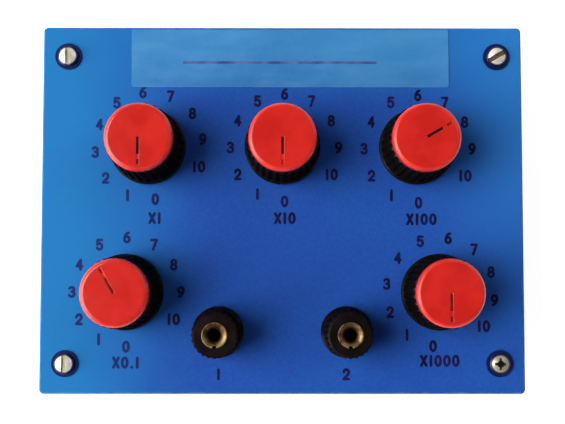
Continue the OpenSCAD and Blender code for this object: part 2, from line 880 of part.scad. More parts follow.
module wiring() {
    common = step_count;
    color("firebrick") {
        wire(post_tag(0), wafer_tag(0, 0), 0);
        wire(wafer_tag(0, common), wafer_tag(1, 0), 0);
        wire(wafer_tag(1, common), wafer_tag(2, 0), row_bow);
        wire(wafer_tag(2, common), wafer_tag(3, 0), row_bow);
        wire(wafer_tag(3, common), wafer_tag(4, 0), 0);
        wire(wafer_tag(4, common), post_tag(1), end_bow);
    }
}

case();
case_inserts();
rubber_feet();
front_panel();
title_strip();
panel_screws();
panel_washers();
switch_nuts();
switch_washers();
index_plates();
detent_springs();
wafers();
wafer_contacts();
tie_rods();
wafer_spacers();
wiring();
post_stems();
post_collars();
post_rear_bushes();
post_tags();
post_nuts();
for (side = [0:1]) post_head(side);
for (side = [0:1]) post_washer(side);
for (dial = [0:4]) resistors(dial);
for (dial = [0:4]) knob(dial);
for (dial = [0:4]) cap(dial);
for (dial = [0:4]) grub_screw(dial);
for (dial = [0:4]) spindle(dial);
for (dial = [0:4]) rotor(dial);
for (dial = [0:4]) wiper(dial);
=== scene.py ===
import json
import math

import bpy
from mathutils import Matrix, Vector


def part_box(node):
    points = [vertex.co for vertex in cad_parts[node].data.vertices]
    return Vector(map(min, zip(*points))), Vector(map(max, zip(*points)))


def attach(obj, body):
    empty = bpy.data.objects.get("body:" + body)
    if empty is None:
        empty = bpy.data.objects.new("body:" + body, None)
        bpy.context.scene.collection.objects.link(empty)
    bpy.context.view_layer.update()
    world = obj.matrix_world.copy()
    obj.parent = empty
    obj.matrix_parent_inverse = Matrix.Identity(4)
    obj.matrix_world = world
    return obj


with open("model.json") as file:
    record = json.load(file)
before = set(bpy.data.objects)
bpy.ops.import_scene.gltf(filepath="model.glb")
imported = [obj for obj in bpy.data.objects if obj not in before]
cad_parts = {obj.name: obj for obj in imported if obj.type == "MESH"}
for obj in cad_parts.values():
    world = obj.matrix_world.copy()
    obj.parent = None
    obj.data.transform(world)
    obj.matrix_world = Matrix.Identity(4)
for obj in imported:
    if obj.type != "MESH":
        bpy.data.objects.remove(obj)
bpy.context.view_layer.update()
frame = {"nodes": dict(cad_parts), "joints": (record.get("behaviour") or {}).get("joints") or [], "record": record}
scene = bpy.context.scene
nodes = frame["nodes"]

# Metres, and degrees clockwise from the panel's upper edge, unless a name or a comment says otherwise

MM = 0.001
PHOTO_W_PX = 565
SENSOR_W_MM = 36.0
CAMERA_FOCAL_PX = 890.4
CAMERA_SHIFT_PX = 20
CAMERA_ABOVE_PANEL = Vector((-0.93, -22.74, 294.72)) * MM
CAMERA_TURN_RADIANS = (0.0511, -0.0033, 0.0005)

STEP_ANGLE = 30
ZERO_ANGLE = 180
STEP_COUNT = 11

panel_low, panel_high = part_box("front_panel")
PANEL_TOP = panel_high.z
joints = {joint["name"]: joint for joint in frame["joints"]}
slot_of = {part["node"]: part["material_slot"] for part in frame["record"]["subparts"]}
MULTIPLIERS = {"x0_1": "X0.1", "x1": "X1", "x10": "X10", "x100": "X100", "x1000": "X1000"}
# The setting that each dial shows at rest, from the lower limit of its joint
SETTINGS = {dial: round(-joints[f"dial_{dial}_turn"]["range_deg"][0] / STEP_ANGLE) for dial in MULTIPLIERS}
TERMINALS = {"left": "1", "right": "2"}


# Shared helpers

def linear(value):
    """One sRGB channel, 0 to 255, as linear light."""
    value = value / 255
    return value / 12.92 if value <= 0.04045 else ((value + 0.055) / 1.055) ** 2.4


def colour(red, green, blue):
    """An sRGB colour, 0 to 255 a channel, as linear light."""
    return (linear(red), linear(green), linear(blue), 1.0)


def direction(angle):
    """The unit vector on the panel at a dial angle."""
    turn = math.radians(angle)
    return Vector((math.sin(turn), math.cos(turn), 0))


def box_middle(node):
    low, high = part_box(node)
    return (low + high) / 2


BLACK = (0.0, 0.0, 0.0, 1.0)
WHITE = (1.0, 1.0, 1.0, 1.0)
# The Mix node's colour sockets, by place because its sockets for other types have the same names
MIX_FIRST = 6
MIX_SECOND = 7
MIX_RESULT = 2
BEVEL_SAMPLES = 4
# Cosine between the rounded and the true normal where wear along an edge is full, and where it ends
WEAR_FULL = 0.8
WEAR_END = 0.99
WEAR_SCALE = 340
NOISE_ROUGHNESS = 0.55


class Shader:
    """A principled material whose inputs are set from procedural nodes in the part's own coordinates."""

    def __init__(self, name, edge=0.0, **values):
        """edge is the radius that edges seem to have; values go to the sockets of the same names."""
        self.material = bpy.data.materials.new(name)
        self.material.use_nodes = True
        self.tree = self.material.node_tree
        self.bsdf = self.tree.nodes["Principled BSDF"]
        self.place = self.node("ShaderNodeTexCoord").outputs["Object"]
        self.edge = edge
        for socket, value in values.items():
            self.set(socket.replace("_", " ").title().replace("Ior", "IOR"), value)

    def node(self, kind, **settings):
        made = self.tree.nodes.new(kind)
        for name, value in settings.items():
            setattr(made, name, value)
        return made

    def plug(self, socket, value):
        if isinstance(value, bpy.types.NodeSocket):
            self.tree.links.new(value, socket)
        else:
            socket.default_value = value

    def set(self, name, value):
        self.plug(self.bsdf.inputs[name], value)

    def axis(self, letter):
        made = self.node("ShaderNodeSeparateXYZ")
        self.plug(made.inputs["Vector"], self.place)
        return made.outputs[letter]

    def math(self, operation, first, second=0.0):
        made = self.node("ShaderNodeMath", operation=operation)
        self.plug(made.inputs[0], first)
        self.plug(made.inputs[1], second)
        return made.outputs["Value"]

    def distance(self, across, along):
        across_square = self.math("MULTIPLY", across, across)
        along_square = self.math("MULTIPLY", along, along)
        return self.math("SQRT", self.math("ADD", across_square, along_square))

    def stretched(self, scale):
        """The place in waves, with scale waves a metre along each axis."""
        made = self.node("ShaderNodeMapping")
        self.plug(made.inputs["Vector"], self.place)
        made.inputs["Scale"].default_value = scale
        return made.outputs["Vector"]

    def noise(self, scale, detail=3.0, place=None):
        """Noise with about scale waves to a unit of place, which is a metre where place isn't stretched."""
        made = self.node("ShaderNodeTexNoise")
        self.plug(made.inputs["Vector"], place or self.place)
        made.inputs["Scale"].default_value = scale
        made.inputs["Detail"].default_value = detail
        made.inputs["Roughness"].default_value = NOISE_ROUGHNESS
        return made.outputs["Fac"]

    def spread(self, value, low, high, start=0.35, end=0.65):
        """Maps value from start..end smoothly to low..high; most noise lies within the default range."""
        made = self.node("ShaderNodeMapRange", interpolation_type="SMOOTHSTEP")
        self.plug(made.inputs["Value"], value)
        for name, number in (("From Min", start), ("From Max", end), ("To Min", low), ("To Max", high)):
            made.inputs[name].default_value = number
        return made.outputs["Result"]

    def mix(self, factor, first, second):
        made = self.node("ShaderNodeMix", data_type="RGBA")
        self.plug(made.inputs["Factor"], factor)
        self.plug(made.inputs[MIX_FIRST], first)
        self.plug(made.inputs[MIX_SECOND], second)
        return made.outputs[MIX_RESULT]

    def rounded(self, radius):
        """The surface's normal as if its edges had this radius."""
        made = self.node("ShaderNodeBevel", samples=BEVEL_SAMPLES)
        made.inputs["Radius"].default_value = radius
        return made.outputs["Normal"]

    def wear(self, radius, most):
        """A patchy mask, up to most, along edges where the surface turns within radius."""
        turn = self.node("ShaderNodeVectorMath", operation="DOT_PRODUCT")
        self.plug(turn.inputs[0], self.rounded(radius))
        self.plug(turn.inputs[1], self.node("ShaderNodeNewGeometry").outputs["Normal"])
        edge = self.spread(turn.outputs["Value"], 1, 0, WEAR_FULL, WEAR_END)
        patches = self.spread(self.noise(WEAR_SCALE, detail=5), low=0, high=most, start=0.4, end=0.6)
        return self.math("MULTIPLY", edge, patches)

    def bump(self, height, depth, strength):
        """Fine relief, on edges that look slightly rounded."""
        made = self.node("ShaderNodeBump")
        made.inputs["Strength"].default_value = strength
        made.inputs["Distance"].default_value = depth
        self.plug(made.inputs["Height"], height)
        if self.edge:
            self.plug(made.inputs["Normal"], self.rounded(self.edge))
        self.set("Normal", made.outputs["Normal"])


# Panel and film: blue, with painted light: paler towards the left and upper edges and near the upper right corner

# Painted light: where it starts and ends across and up the panel, its share at the top and near the upper right
# corner, and its noise
PAINTED_LIGHT_LEFT = panel_low.x + 2 * MM
PAINTED_LIGHT_RIGHT = panel_low.x + 58 * MM
PAINTED_LIGHT_LOW = panel_high.y - 30 * MM
PAINTED_LIGHT_HIGH = panel_high.y - 4 * MM
PAINTED_LIGHT_TOP_SHARE = 0.62
PAINTED_LIGHT_FAR = panel_high.x - 40 * MM
PAINTED_LIGHT_FAR_SHARE = 0.92
PAINTED_LIGHT_PATCH = 0.08
PAINTED_LIGHT_PATCH_SCALE = 22

PANEL_DEEP = colour(34, 74, 162)
# Painted light: the panel lighter towards the left and upper edges, and near the upper right corner
PANEL_PAINTED_LIT = colour(34, 120, 185)
PANEL_PAINTED_LIT_FAR = colour(44, 122, 196)
PANEL_GRAIN = colour(36, 104, 190)
PANEL_WORN = colour(126, 186, 220)
FILM_DEEP = colour(51, 109, 177)
# Painted light on the film, as on the panel
FILM_PAINTED_LIT = colour(60, 139, 193)
FILM_PAINTED_LIT_FAR = colour(60, 132, 198)
FILM_CLOUD = colour(88, 152, 202)
FILM_CLOUD_LAY = (60, 160, 60)


def faded(shader, deep, pale, far):
    """The panel's colour: deep, with painted light in pale towards the left and upper edges and in far near the
    upper right corner.
    """
    left = shader.spread(shader.axis("X"), 1.0, 0.0, PAINTED_LIGHT_LEFT, PAINTED_LIGHT_RIGHT)
    top = shader.spread(shader.axis("Y"), 0.0, PAINTED_LIGHT_TOP_SHARE, PAINTED_LIGHT_LOW, PAINTED_LIGHT_HIGH)
    right = shader.spread(shader.axis("X"), 0.0, PAINTED_LIGHT_FAR_SHARE, PAINTED_LIGHT_FAR, panel_high.x)
    upper = shader.spread(shader.axis("Y"), 0.0, 1.0, panel_low.y, panel_high.y)
    patch = shader.spread(shader.noise(PAINTED_LIGHT_PATCH_SCALE), -PAINTED_LIGHT_PATCH, PAINTED_LIGHT_PATCH)
    # edges is the painted light's share, strongest towards the left and upper edges, made uneven by a little noise
    edges = shader.math("ADD", shader.math("MAXIMUM", left, top), patch)
    return shader.mix(shader.math("MULTIPLY", right, upper), shader.mix(edges, deep, pale), far)


def panel_blue():
    """Blue paint with painted light and a fine grain, worn paler along its edges."""
    shader = Shader("panel_blue", edge=0.3 * MM, specular_ior_level=0.04)
    base = faded(shader, PANEL_DEEP, PANEL_PAINTED_LIT, PANEL_PAINTED_LIT_FAR)
    grain = shader.noise(scale=900, detail=2)
    base = shader.mix(shader.spread(grain, low=0, high=0.2), base, PANEL_GRAIN)
    worn = shader.wear(radius=0.5 * MM, most=0.7)
    shader.set("Base Color", shader.mix(worn, base, PANEL_WORN))
    shader.set("Roughness", shader.spread(shader.noise(scale=60), low=0.38, high=0.5))
    shader.bump(shader.noise(scale=700, detail=2), depth=0.02 * MM, strength=0.5)
    return shader.material


def film():
    """The strip of cloudy film, with the panel's painted light, slightly uneven where it is stuck down."""
    shader = Shader("film", edge=0.1 * MM, specular_ior_level=0.14)
    base = faded(shader, FILM_DEEP, FILM_PAINTED_LIT, FILM_PAINTED_LIT_FAR)
    cloudy = shader.noise(scale=1, detail=4, place=shader.stretched(FILM_CLOUD_LAY))
    shader.set("Base Color", shader.mix(shader.spread(cloudy, low=0, high=0.3), base, FILM_CLOUD))
    shader.set("Roughness", shader.spread(shader.noise(scale=150), low=0.25, high=0.4))
    shader.bump(shader.noise(scale=55, detail=2), depth=0.05 * MM, strength=0.4)
    return shader.material


# Plastics, inks and paints

CASE_DARK = colour(20, 20, 22)
CASE_LIGHT = colour(25, 25, 27)
CASE_SCUFFED = colour(84, 84, 86)


def case_shell():
    """Black moulded plastic with a fine even grain, scuffed paler along its edges."""
    shader = Shader("case_black", edge=0.3 * MM, specular_ior_level=0.16)
    base = shader.mix(shader.spread(shader.noise(scale=18, detail=2), 0, 1), CASE_DARK, CASE_LIGHT)
    scuffed = shader.wear(radius=0.9 * MM, most=0.5)
    shader.set("Base Color", shader.mix(scuffed, base, CASE_SCUFFED))
    grain = shader.noise(scale=1500, detail=2)
    shader.set("Roughness", shader.spread(grain, low=0.46, high=0.62))
    shader.bump(grain, depth=0.08 * MM, strength=0.8)
    return shader.material


DRIFT_SCALE = 120
GLOSS_SCALE = 220
PLASTIC_EDGE = 0.25 * MM


def drifting(shader, dark, light):
    """A colour that drifts slightly between two others."""
    return shader.mix(shader.spread(shader.noise(DRIFT_SCALE, detail=4), 0, 1), dark, light)


def uneven_gloss(shader, rough):
    """A roughness that drifts over the range rough."""
    return shader.spread(shader.noise(GLOSS_SCALE), *rough)


def moulding_grain(shader, scale, depth):
    shader.bump(shader.noise(scale, detail=2), depth, strength=0.7)


def moulded(name, dark, light, rough, grain, edge=PLASTIC_EDGE, gloss=0.4):
    """Black or coloured plastic: slight colour drift, uneven gloss and moulding grain.

    rough is the range of roughness, grain the scale and depth of the relief.
    """
    shader = Shader(name, edge, specular_ior_level=gloss)
    shader.set("Base Color", drifting(shader, dark, light))
    shader.set("Roughness", uneven_gloss(shader, rough))
    moulding_grain(shader, *grain)
    return shader.material


SATIN_SHARE = 0.8
SATIN_GLOSS = 0.012


def satin_black(name, dark, light, rough, grain):
    """Old black plastic whose soft shine stays weak at low angles, where the panel would show in it."""
    shader = Shader(
        name, PLASTIC_EDGE, metallic=SATIN_SHARE, specular_ior_level=SATIN_GLOSS, specular_tint=BLACK)
    shader.set("Base Color", drifting(shader, dark, light))
    shader.set("Roughness", uneven_gloss(shader, rough))
    moulding_grain(shader, *grain)
    return shader.material


CAP_DEEP = colour(191, 28, 23)
CAP_BRIGHT = colour(204, 37, 28)
# The rim's paler colour: wear and a painted highlight
CAP_RIM_WEAR_AND_HIGHLIGHT = colour(232, 66, 48)
CAP_ROUGH = (0.14, 0.18)
CAP_GRAIN = (800, 0.01 * MM)
CAP_RIM_H = 1.4 * MM
CAP_RIM_DULL = 0.16
CAP_RIM_SCALE = 300
# The rim's paler band, of wear and a painted highlight, is full, fades and ends at these shares of the rim's
# height below the cap's top
CAP_BAND_FULL = 0.6
CAP_BAND_FADE = 0.06
CAP_BAND_END = 0.005


def cap_red():
    """Red plastic, paler round its upper edge: wear where fingers have polished it, and a painted highlight."""
    shader = Shader("cap_red", edge=0.3 * MM, specular_ior_level=0.5)
    base = drifting(shader, CAP_DEEP, CAP_BRIGHT)
    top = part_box("cap_x1")[1].z
    over = shader.spread(shader.axis("Z"), 0, 1, top - CAP_RIM_H, top - CAP_BAND_FULL * CAP_RIM_H)
    under = shader.spread(
        shader.axis("Z"), 1, 0, top - CAP_BAND_FADE * CAP_RIM_H, top - CAP_BAND_END * CAP_RIM_H)
    edge = shader.math("MULTIPLY", over, under)
    patches = shader.spread(shader.noise(CAP_RIM_SCALE), low=0.05, high=0.35)
    rim = shader.math("MULTIPLY", edge, patches)
    # Paler rim: wear and a painted highlight
    shader.set("Base Color", shader.mix(rim, base, CAP_RIM_WEAR_AND_HIGHLIGHT))
    dull = shader.math("MULTIPLY", edge, CAP_RIM_DULL)
    shader.set("Roughness", shader.math("ADD", uneven_gloss(shader, CAP_ROUGH), dull))
    moulding_grain(shader, *CAP_GRAIN)
    return shader.material


PAINT_ROUGH = (0.5, 0.65)
PAINT_GLOSS = 0.04
INK_GRAIN = (700, 0.004 * MM)
POINTER_GRAIN = (900, 0.01 * MM)
INK_DARK = colour(18, 17, 56)
INK_LIGHT = colour(29, 26, 80)
# Painted light: the ink lighter towards the left, full at the first x and gone at the second
INK_PAINTED_LIT = colour(34, 45, 106)
INK_PAINTED_LIT_X = panel_low.x + 18 * MM
INK_UNLIT_X = panel_low.x + 52 * MM


def panel_ink():
    """Navy ink, with painted light: lighter towards the left edge, as the panel is."""
    shader = Shader("ink_navy", specular_ior_level=PAINT_GLOSS)
    base = drifting(shader, INK_DARK, INK_LIGHT)
    # Painted light, lighter towards the left
    ink_lit_share = shader.spread(shader.axis("X"), 1, 0, INK_PAINTED_LIT_X, INK_UNLIT_X)
    shader.set("Base Color", shader.mix(ink_lit_share, base, INK_PAINTED_LIT))
    shader.set("Roughness", uneven_gloss(shader, PAINT_ROUGH))
    moulding_grain(shader, *INK_GRAIN)
    return shader.material


def paint(name, dark, light, grain):
    """A thin matt coat, with no edges of its own."""
    return moulded(name, dark, light, PAINT_ROUGH, grain, edge=0, gloss=PAINT_GLOSS)


BOARD_DARK = colour(92, 48, 22)
BOARD_LIGHT = colour(136, 82, 42)
BOARD_LAY = (300, 1600, 900)


def phenolic():
    """Brown paper board, with its fibres along one direction."""
    shader = Shader("phenolic", edge=0.1 * MM, coat_weight=0.2)
    fibre = shader.noise(scale=1, detail=5, place=shader.stretched(BOARD_LAY))
    shader.set("Base Color", shader.mix(shader.spread(fibre, 0, 1), BOARD_DARK, BOARD_LIGHT))
    shader.set("Roughness", shader.spread(fibre, low=0.42, high=0.58))
    shader.bump(fibre, depth=0.01 * MM, strength=0.5)
    return shader.material


# Metals

METAL_EDGE = 0.15 * MM
TARNISH_SCALE = 260
MARK_DEPTH = 0.006 * MM
# Waves a metre along each axis, in marks left by a lathe and by a rolling mill
TURNED = (400, 400, 9000)
ROLLED = (3000, 300, 3000)


def tarnish(shader, dark, light, scale=TARNISH_SCALE):
    return shader.mix(shader.spread(shader.noise(scale, detail=4), 0, 1), dark, light)


def tool_marks(shader, rough, lay):
    """Marks along one direction, which show in the roughness and as relief."""
    marks = shader.noise(scale=1, place=shader.stretched(lay))
    shader.set("Roughness", shader.spread(marks, *rough))
    shader.bump(marks, MARK_DEPTH, strength=0.5)


def metal(name, dark, light, rough, lay):
    """Bright metal with tool marks along one direction and a little tarnish."""
    shader = Shader(name, METAL_EDGE, metallic=1.0)
    shader.set("Base Color", tarnish(shader, dark, light))
    tool_marks(shader, rough, lay)
    return shader.material


SCREW_SHINE = 0.4
SCREW_EDGE = 0.06 * MM
SCREW_HEAD_R = 3.4 * MM
# The painted shadow ring round each head starts at the first radius and is full at the second
SCREW_BRIGHT_R = 2.55 * MM
SCREW_DARK_R = 2.95 * MM
SCREW_ROUGH = (0.26, 0.42)
# Painted shade: on the slot floors below this depth, and in the middle of the lower right head within these radii
SLOT_SHADE_DEPTH = 0.95 * MM
SLOT_SHADE_FADE = 0.1 * MM
CORE_SHADE_R = 1.0 * MM
CORE_SHADE_END_R = 1.35 * MM
NICKEL_DARK = colour(226, 224, 208)
NICKEL_LIGHT = colour(252, 250, 240)
# Painted shade: the lower right head darker all over, the slot floors, and that head's middle
NICKEL_SHADED = colour(172, 165, 147)
SLOT_SHADE_LEFT = colour(168, 164, 140)
SLOT_SHADE_RIGHT = colour(96, 74, 42)
SLOT_SHADE_LOWER_RIGHT = colour(70, 62, 48)
CORE_SHADE = colour(24, 16, 10)
# Painted shadow: the dark navy ring round each head
SCREW_RIM_SHADOW = colour(20, 26, 64)


def screw_plating():
    """Dull nickel plating, with painted shade on the slot floors and a painted shadow ring round the heads.

    The lower right head is painted darker as if in shade, with painted shade darkest in its middle.
    """
    shader = Shader("screw_plating", SCREW_EDGE, metallic=SCREW_SHINE)
    base = tarnish(shader, NICKEL_DARK, NICKEL_LIGHT)
    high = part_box("panel_screws")[1]
    floor_z = high.z - SLOT_SHADE_DEPTH
    # Painted shade on the slot floors, lighter on the left-hand screws
    deep = shader.spread(shader.axis("Z"), 1, 0, floor_z - SLOT_SHADE_FADE, floor_z)
    right = shader.spread(shader.axis("X"), 0, 1, -MM, MM)
    lower_right = shader.math("MULTIPLY", right, shader.spread(shader.axis("Y"), 1, 0, -MM, MM))
    slot_shade = shader.mix(lower_right, shader.mix(right, SLOT_SHADE_LEFT, SLOT_SHADE_RIGHT), SLOT_SHADE_LOWER_RIGHT)
    # The lower right head painted darker, as if in shade
    base = shader.mix(lower_right, base, NICKEL_SHADED)
    across = shader.math("SUBTRACT", shader.math("ABSOLUTE", shader.axis("X")), high.x - SCREW_HEAD_R)
    along = shader.math("SUBTRACT", shader.math("ABSOLUTE", shader.axis("Y")), high.y - SCREW_HEAD_R)
    reach = shader.distance(across, along)
    # Painted shade in the middle of the lower right head, and a painted shadow ring round each head
    core_shade = shader.math("MULTIPLY", lower_right, shader.spread(reach, 1, 0, CORE_SHADE_R, CORE_SHADE_END_R))
    rim = shader.spread(reach, 0, 1, SCREW_BRIGHT_R, SCREW_DARK_R)
    base = shader.mix(rim, shader.mix(deep, base, slot_shade), SCREW_RIM_SHADOW)
    shader.set("Base Color", shader.mix(core_shade, base, CORE_SHADE))
    tool_marks(shader, SCREW_ROUGH, TURNED)
    return shader.material


# The bore is painted darker, as shade with tarnish, fully within the smaller radius and fading out to the larger
SOCKET_EDGE_R = 3.4 * MM
SOCKET_DARK_R = 2.2 * MM
SOCKET_ROUGH = (0.42, 0.58)
BRASS_DARK = colour(84, 58, 36)
BRASS_LIGHT = colour(150, 126, 92)
# Painted shade with tarnish in the bore
BRASS_BORE_SHADE_AND_TARNISH = colour(44, 30, 18)
BRASS_TARNISH_SCALE = 420


def socket_brass():
    """Turned brass whose bore is darker: painted shade in the hole, with brown tarnish from use."""
    shader = Shader("brass", METAL_EDGE, metallic=1.0)
    posts = box_middle("post_stems")
    low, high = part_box("post_washer_right")
    post_x = (low.x + high.x) / 2
    across = shader.math("SUBTRACT", shader.math("ABSOLUTE", shader.axis("X")), post_x)
    along = shader.math("SUBTRACT", shader.axis("Y"), posts.y)
    # Painted shade with tarnish in the bore
    bore = shader.spread(shader.distance(across, along), 1, 0, SOCKET_DARK_R, SOCKET_EDGE_R)
    base = tarnish(shader, BRASS_DARK, BRASS_LIGHT, BRASS_TARNISH_SCALE)
    shader.set("Base Color", shader.mix(bore, base, BRASS_BORE_SHADE_AND_TARNISH))
    tool_marks(shader, SOCKET_ROUGH, TURNED)
    return shader.material


# Finishes by name: one for each slot, and those that a slot's node or printed piece has instead

MATERIALS = {
    "panel_blue": panel_blue(),
    "film": film(),
    "phenolic": phenolic(),
    "cap_red": cap_red(),
    "brass": socket_brass(),
    "case_black": case_shell(),
    "knob_black": satin_black(
        "knob_black", colour(29, 26, 25), colour(37, 34, 32), rough=(0.36, 0.46), grain=(900, 0.012 * MM)),
    "post_black": satin_black(
        "post_black", colour(26, 21, 22), colour(35, 28, 29), rough=(0.32, 0.42), grain=(900, 0.006 * MM)),
    # Navy washers: their own dark colour, with painted shade of the ring round each screw head
    "washer_black": moulded(
        "washer_black", colour(14, 24, 74), colour(20, 34, 92),
        rough=(0.45, 0.6), grain=(700, 0.01 * MM), gloss=0.06),
    "ink_navy": panel_ink(),
    "ink_faded": paint("ink_faded", colour(62, 72, 132), colour(96, 108, 164), INK_GRAIN),
    "cap_plain": moulded(
        "cap_plain", CAP_DEEP, CAP_BRIGHT, rough=(0.3, 0.4), grain=CAP_GRAIN, edge=0, gloss=0.2),
    "pointer_dark": paint("pointer_dark", colour(30, 8, 10), colour(66, 14, 14), POINTER_GRAIN),
    "pointer_worn": paint("pointer_worn", colour(92, 18, 16), colour(168, 26, 22), POINTER_GRAIN),
    "resistor_tan": moulded(
        "resistor_tan", colour(170, 132, 88), colour(196, 158, 110),
        rough=(0.3, 0.42), grain=(600, 0.01 * MM)),
    "wire_red": moulded(
        "wire_red", colour(150, 24, 20), colour(176, 34, 28), rough=(0.38, 0.5), grain=(500, 0.01 * MM)),
    "rubber": moulded(
        "rubber", colour(22, 22, 23), colour(34, 33, 33), rough=(0.72, 0.88), grain=(1200, 0.03 * MM)),
    "steel": metal("steel", colour(196, 192, 180), colour(230, 226, 214), rough=(0.24, 0.42), lay=TURNED),
    "screw_plating": screw_plating(),
    "zinc": metal("zinc", colour(150, 152, 152), colour(186, 188, 188), rough=(0.32, 0.5), lay=ROLLED),
    "spring_bronze": metal(
        "spring_bronze", colour(172, 120, 72), colour(198, 148, 92), rough=(0.24, 0.36), lay=ROLLED),
    "contact_silver": metal(
        "contact_silver", colour(190, 188, 176), colour(220, 218, 208), rough=(0.2, 0.34), lay=ROLLED),
}

# Nodes whose finish differs from their slot's
FINISHES = {"panel_screws": "screw_plating"}


def dress_cad_nodes():
    for name, piece in nodes.items():
        piece.data.materials.clear()
        piece.data.materials.append(MATERIALS[FINISHES.get(name, slot_of[name])])


def add_piece(name, points, faces, body, slot, finish=None):
    """A mesh that rides on a body, in its slot's finish unless another is named."""
    mesh = bpy.data.meshes.new(name)
    mesh.from_pydata(points, [], faces)
    mesh.update()
    made = bpy.data.objects.new(name, mesh)
    scene.collection.objects.link(made)
    mesh.materials.append(MATERIALS[finish or slot])
    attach(made, body)


# Ink on the panel: numerals drawn as pen strokes in a unit box

ARC_STEP = 18
ARC_LEAST_STEPS = 4


def arc(centre_x, centre_y, radius_x, radius_y, start, end):
    """Points along part of an ellipse, from start to end in degrees anticlockwise from its right end."""
    steps = max(ARC_LEAST_STEPS, round(abs(end - start) / ARC_STEP))
    turns = [math.radians(start + (end - start) * k / steps) for k in range(steps + 1)]
    return [(centre_x + radius_x * math.cos(t), centre_y + radius_y * math.sin(t)) for t in turns]


def loop(centre_x, centre_y, radius_x, radius_y):
    """A closed loop as two half turns, so that no stroke overlaps itself."""
    return [arc(centre_x, centre_y, radius_x, radius_y, start, start + 180) for start in (90, 270)]


NUMERALS = {
    "0": loop(0.5, 0.5, 0.5, 0.5),
    "1": [[(0.5, 0), (0.5, 1)]],
    "2": [arc(0.5, 0.7, 0.48, 0.3, 175, -35) + [(0.02, 0)], [(0.02, 0), (1, 0)]],
    "3": [arc(0.46, 0.76, 0.46, 0.24, 155, -90), arc(0.46, 0.26, 0.52, 0.26, 90, -155)],
    "4": [[(0.72, 0), (0.72, 1)], [(0.72, 1), (0, 0.32)], [(0, 0.32), (1, 0.32)]],
    "5": [[(0.92, 1), (0.12, 1)], [(0.12, 1), (0.06, 0.55)], arc(0.46, 0.32, 0.52, 0.32, 142, -150)],
    "6": loop(0.5, 0.3, 0.48, 0.3) + [arc(0.92, 0.3, 0.9, 0.7, 180, 96)],
    "7": [[(0, 1), (1, 1)], [(1, 1), (0.32, 0)]],
    "8": loop(0.5, 0.76, 0.42, 0.24) + loop(0.5, 0.26, 0.5, 0.26),
    "9": loop(0.5, 0.7, 0.48, 0.3) + [arc(0.08, 0.7, 0.9, 0.7, 0, -84)],
    "X": [[(0, 1), (1, 0)], [(0, 0), (1, 1)]],
    ".": [[(0.5, 0), (0.5, 0.02)]],
}
NARROW = {"1": 0.35, ".": 0.3}
NUMERAL_H = 3.1 * MM
NUMERAL_W = 1.65 * MM
NUMERAL_PEN = 0.9 * MM
NUMERAL_GAP = 1.25 * MM

# Each stroke lies on another layer than the few before it, so that faces that cross don't share a plane
INK_THICKNESS = 0.04 * MM
INK_LAYER = 0.003 * MM
INK_LAYERS = 5
# A stroke's round end: how far past the path, and how wide, as shares of half the pen's width
PEN_END = ((1.0, 0.15), (0.72, 0.7))


class Ink:
    """Flat strokes on a surface at height z, gathered into one mesh."""

    def __init__(self, z):
        self.z = z
        self.points = []
        self.faces = []
        self.strokes = 0

    def stroke(self, path, pen):
        """A ribbon of pen width with round ends along path, open on its underside."""
        outline = self.outline([Vector(p) for p in path], pen / 2)
        count = len(outline)
        first = len(self.points)
        top = self.z + INK_THICKNESS + INK_LAYER * (self.strokes % INK_LAYERS)
        self.strokes += 1
        self.points += [(p.x, p.y, self.z) for p in outline] + [(p.x, p.y, top) for p in outline]
        for k in range(count // 2 - 1):
            self.faces.append([first + count + n for n in (k, k + 1, count - 2 - k, count - 1 - k)])
        for k in range(count):
            after = (k + 1) % count
            self.faces.append([first + k, first + after, first + count + after, first + count + k])

    @staticmethod
    def outline(path, half):
        """The closed edge of the ribbon: the left side forwards, then the right side back."""
        last = len(path) - 1
        rungs = []
        for k, point in enumerate(path):
            along = (path[min(k + 1, last)] - path[max(k - 1, 0)]).normalized()
            side = Vector((-along.y, along.x)) * half
            if k == 0:
                rungs += [(point - along * half * lead, side * share) for lead, share in PEN_END]
            rungs.append((point, side))
            if k == last:
                rungs += [(point + along * half * lead, side * share) for lead, share in reversed(PEN_END)]
        left = [middle + side for middle, side in rungs]
        right = [middle - side for middle, side in reversed(rungs)]
        return left + right

    def write(self, text, centre):
        """Text in stroke numerals, centred on a point."""
        widths = [NUMERAL_W * NARROW.get(letter, 1) for letter in text]
        x = centre[0] - (sum(widths) + NUMERAL_GAP * (len(text) - 1)) / 2
        base = centre[1] - NUMERAL_H / 2
        for letter, wide in zip(text, widths):
            for path in NUMERALS[letter]:
                self.stroke([(x + wide * px, base + NUMERAL_H * py) for px, py in path], NUMERAL_PEN)
            x += wide + NUMERAL_GAP

    def print_on_box(self, name, finish=None):
        add_piece(name, self.points, self.faces, "box", "ink_navy", finish)


NUMERAL_RING_R = 18.0 * MM
LABEL_DROP = 23.6 * MM
# How far each printed ring is turned and shifted from its dial, and each multiplier from its place below
RING_TURN = {"x1": -7, "x1000": 8.5}
RING_SHIFT = {
    "x1": Vector((0.1, 0.6, 0)) * MM,
    "x10": Vector((0.7, 0, 0)) * MM,
    "x100": Vector((0.7, -0.4, 0)) * MM,
    "x1000": Vector((0.8, 0, 0)) * MM,
}
LABEL_SHIFT = {
    "x1": Vector((2.2, 0, 0)) * MM,
    "x10": Vector((0.8, 0, 0)) * MM,
    "x100": Vector((1.6, -0.3, 0)) * MM,
    "x0_1": Vector((0, 0.4, 0)) * MM,
    "x1000": Vector((0.3, 1.0, 0)) * MM,
}


